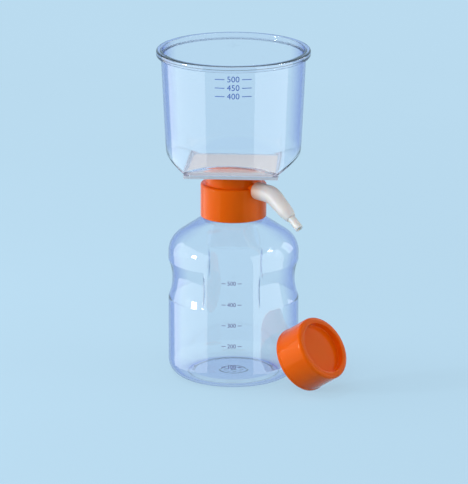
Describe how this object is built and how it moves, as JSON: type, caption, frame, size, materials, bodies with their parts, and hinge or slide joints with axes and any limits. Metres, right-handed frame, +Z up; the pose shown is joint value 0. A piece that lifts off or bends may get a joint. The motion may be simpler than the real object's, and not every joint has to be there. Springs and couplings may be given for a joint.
{
  "type": "vacuum filtration unit",
  "caption": "Clear round funnel with a square membrane foot, screwed by an orange neck adapter with an angled hose connector on a clear bottle with finger grips; its cap leans beside it.",
  "frame": {"origin": "centre of the bottle's base, on the surface it stands on", "axes": "+Z up along the axis of bottle and funnel, +X and +Y square to the funnel's square foot, the hose connector between +X and -Y"},
  "size_m": [0.1386, 0.1194, 0.2407],
  "materials": {
    "clear_plastic": "clear glossy polystyrene",
    "orange_plastic": "moulded polypropylene, satin gloss",
    "white_plastic": "moulded, slightly milky",
    "membrane_sheet": "smooth matt filter membrane",
    "seal_rubber": "matt silicone",
    "cotton": "pressed fibre"
  },
  "bodies": {
    "bottle": {"bottle": "clear_plastic", "screw_cap": "orange_plastic"},
    "seal": {"neck_gasket": "seal_rubber"},
    "filter_head": {"funnel": "clear_plastic", "membrane": "membrane_sheet", "support_plate": "clear_plastic", "neck_adapter": "orange_plastic", "vent_plug": "cotton"},
    "connector": {"hose_connector": "white_plastic"}
  },
  "joints": [
    {"name": "head_lift", "type": "slide", "parent": "bottle", "child": "seal", "axis": [0, 0, 1], "range_m": [0, 0.0075]},
    {"name": "head_turn", "type": "hinge", "parent": "seal", "child": "filter_head", "pos_m": [0, 0, 0.1375], "axis": [0, 0, 1], "range_deg": [0, 540]},
    {"name": "connector_swivel", "type": "hinge", "parent": "filter_head", "child": "connector", "pos_m": [0.02121, -0.02121, 0.1414], "axis": [0.7071, -0.7071, 0], "continuous": true}
  ],
  "couplings": [
    {"joint": "head_lift", "follows": "head_turn", "m_per_rad": 0.00079577}
  ]
}
